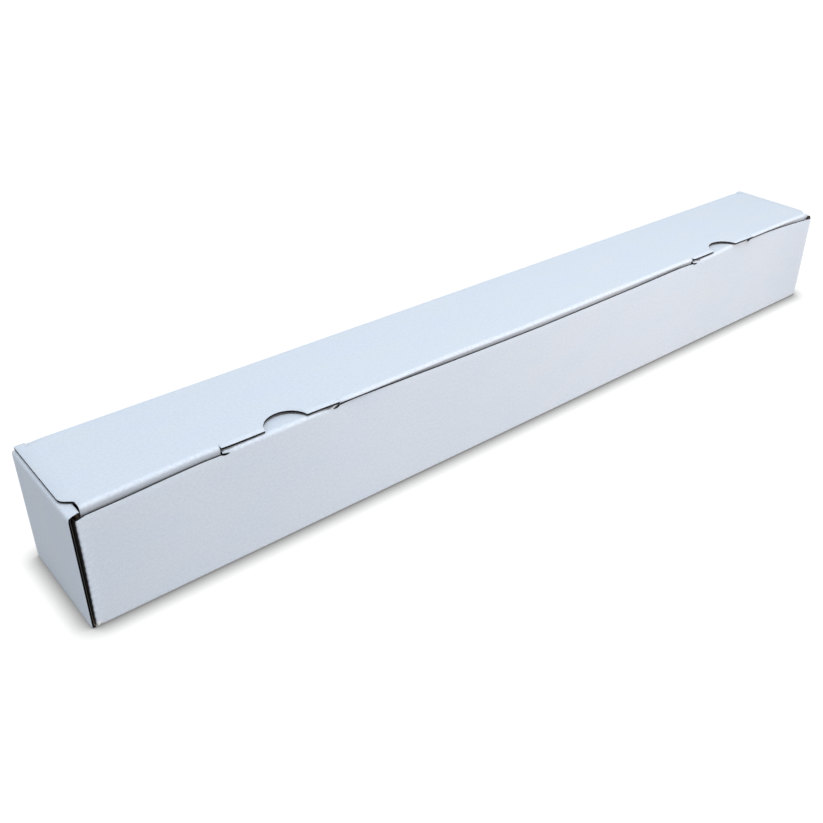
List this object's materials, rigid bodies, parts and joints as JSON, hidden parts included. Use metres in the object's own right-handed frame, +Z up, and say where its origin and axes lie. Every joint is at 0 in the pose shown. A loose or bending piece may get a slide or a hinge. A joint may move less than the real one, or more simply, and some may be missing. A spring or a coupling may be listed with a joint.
{
  "type": "shipping box",
  "caption": "Long, slim white corrugated mailing box with rolled ends, a hinged tuck-in lid and tab locks with half-moon thumb notches.",
  "frame": {"origin": "under the middle of the box, on the surface it stands on", "axes": "+X along the box, -Y the front wall with the tab locks, +Y the back wall with the lid's hinge, +Z up"},
  "size_m": [0.98, 0.112, 0.1111],
  "materials": {
    "tray_board": "white-faced corrugated board, matt, brown inside",
    "lid_board": "white-faced corrugated board, matt, brown inside"
  },
  "bodies": {
    "tray": {"tray": "tray_board"},
    "lid": {"lid": "lid_board"}
  },
  "joints": [
    {"name": "lid_hinge", "type": "hinge", "parent": "tray", "child": "lid", "pos_m": [0, 0.0546, 0.1097], "axis": [-1, 0, 0], "range_deg": [0, 180]}
  ]
}
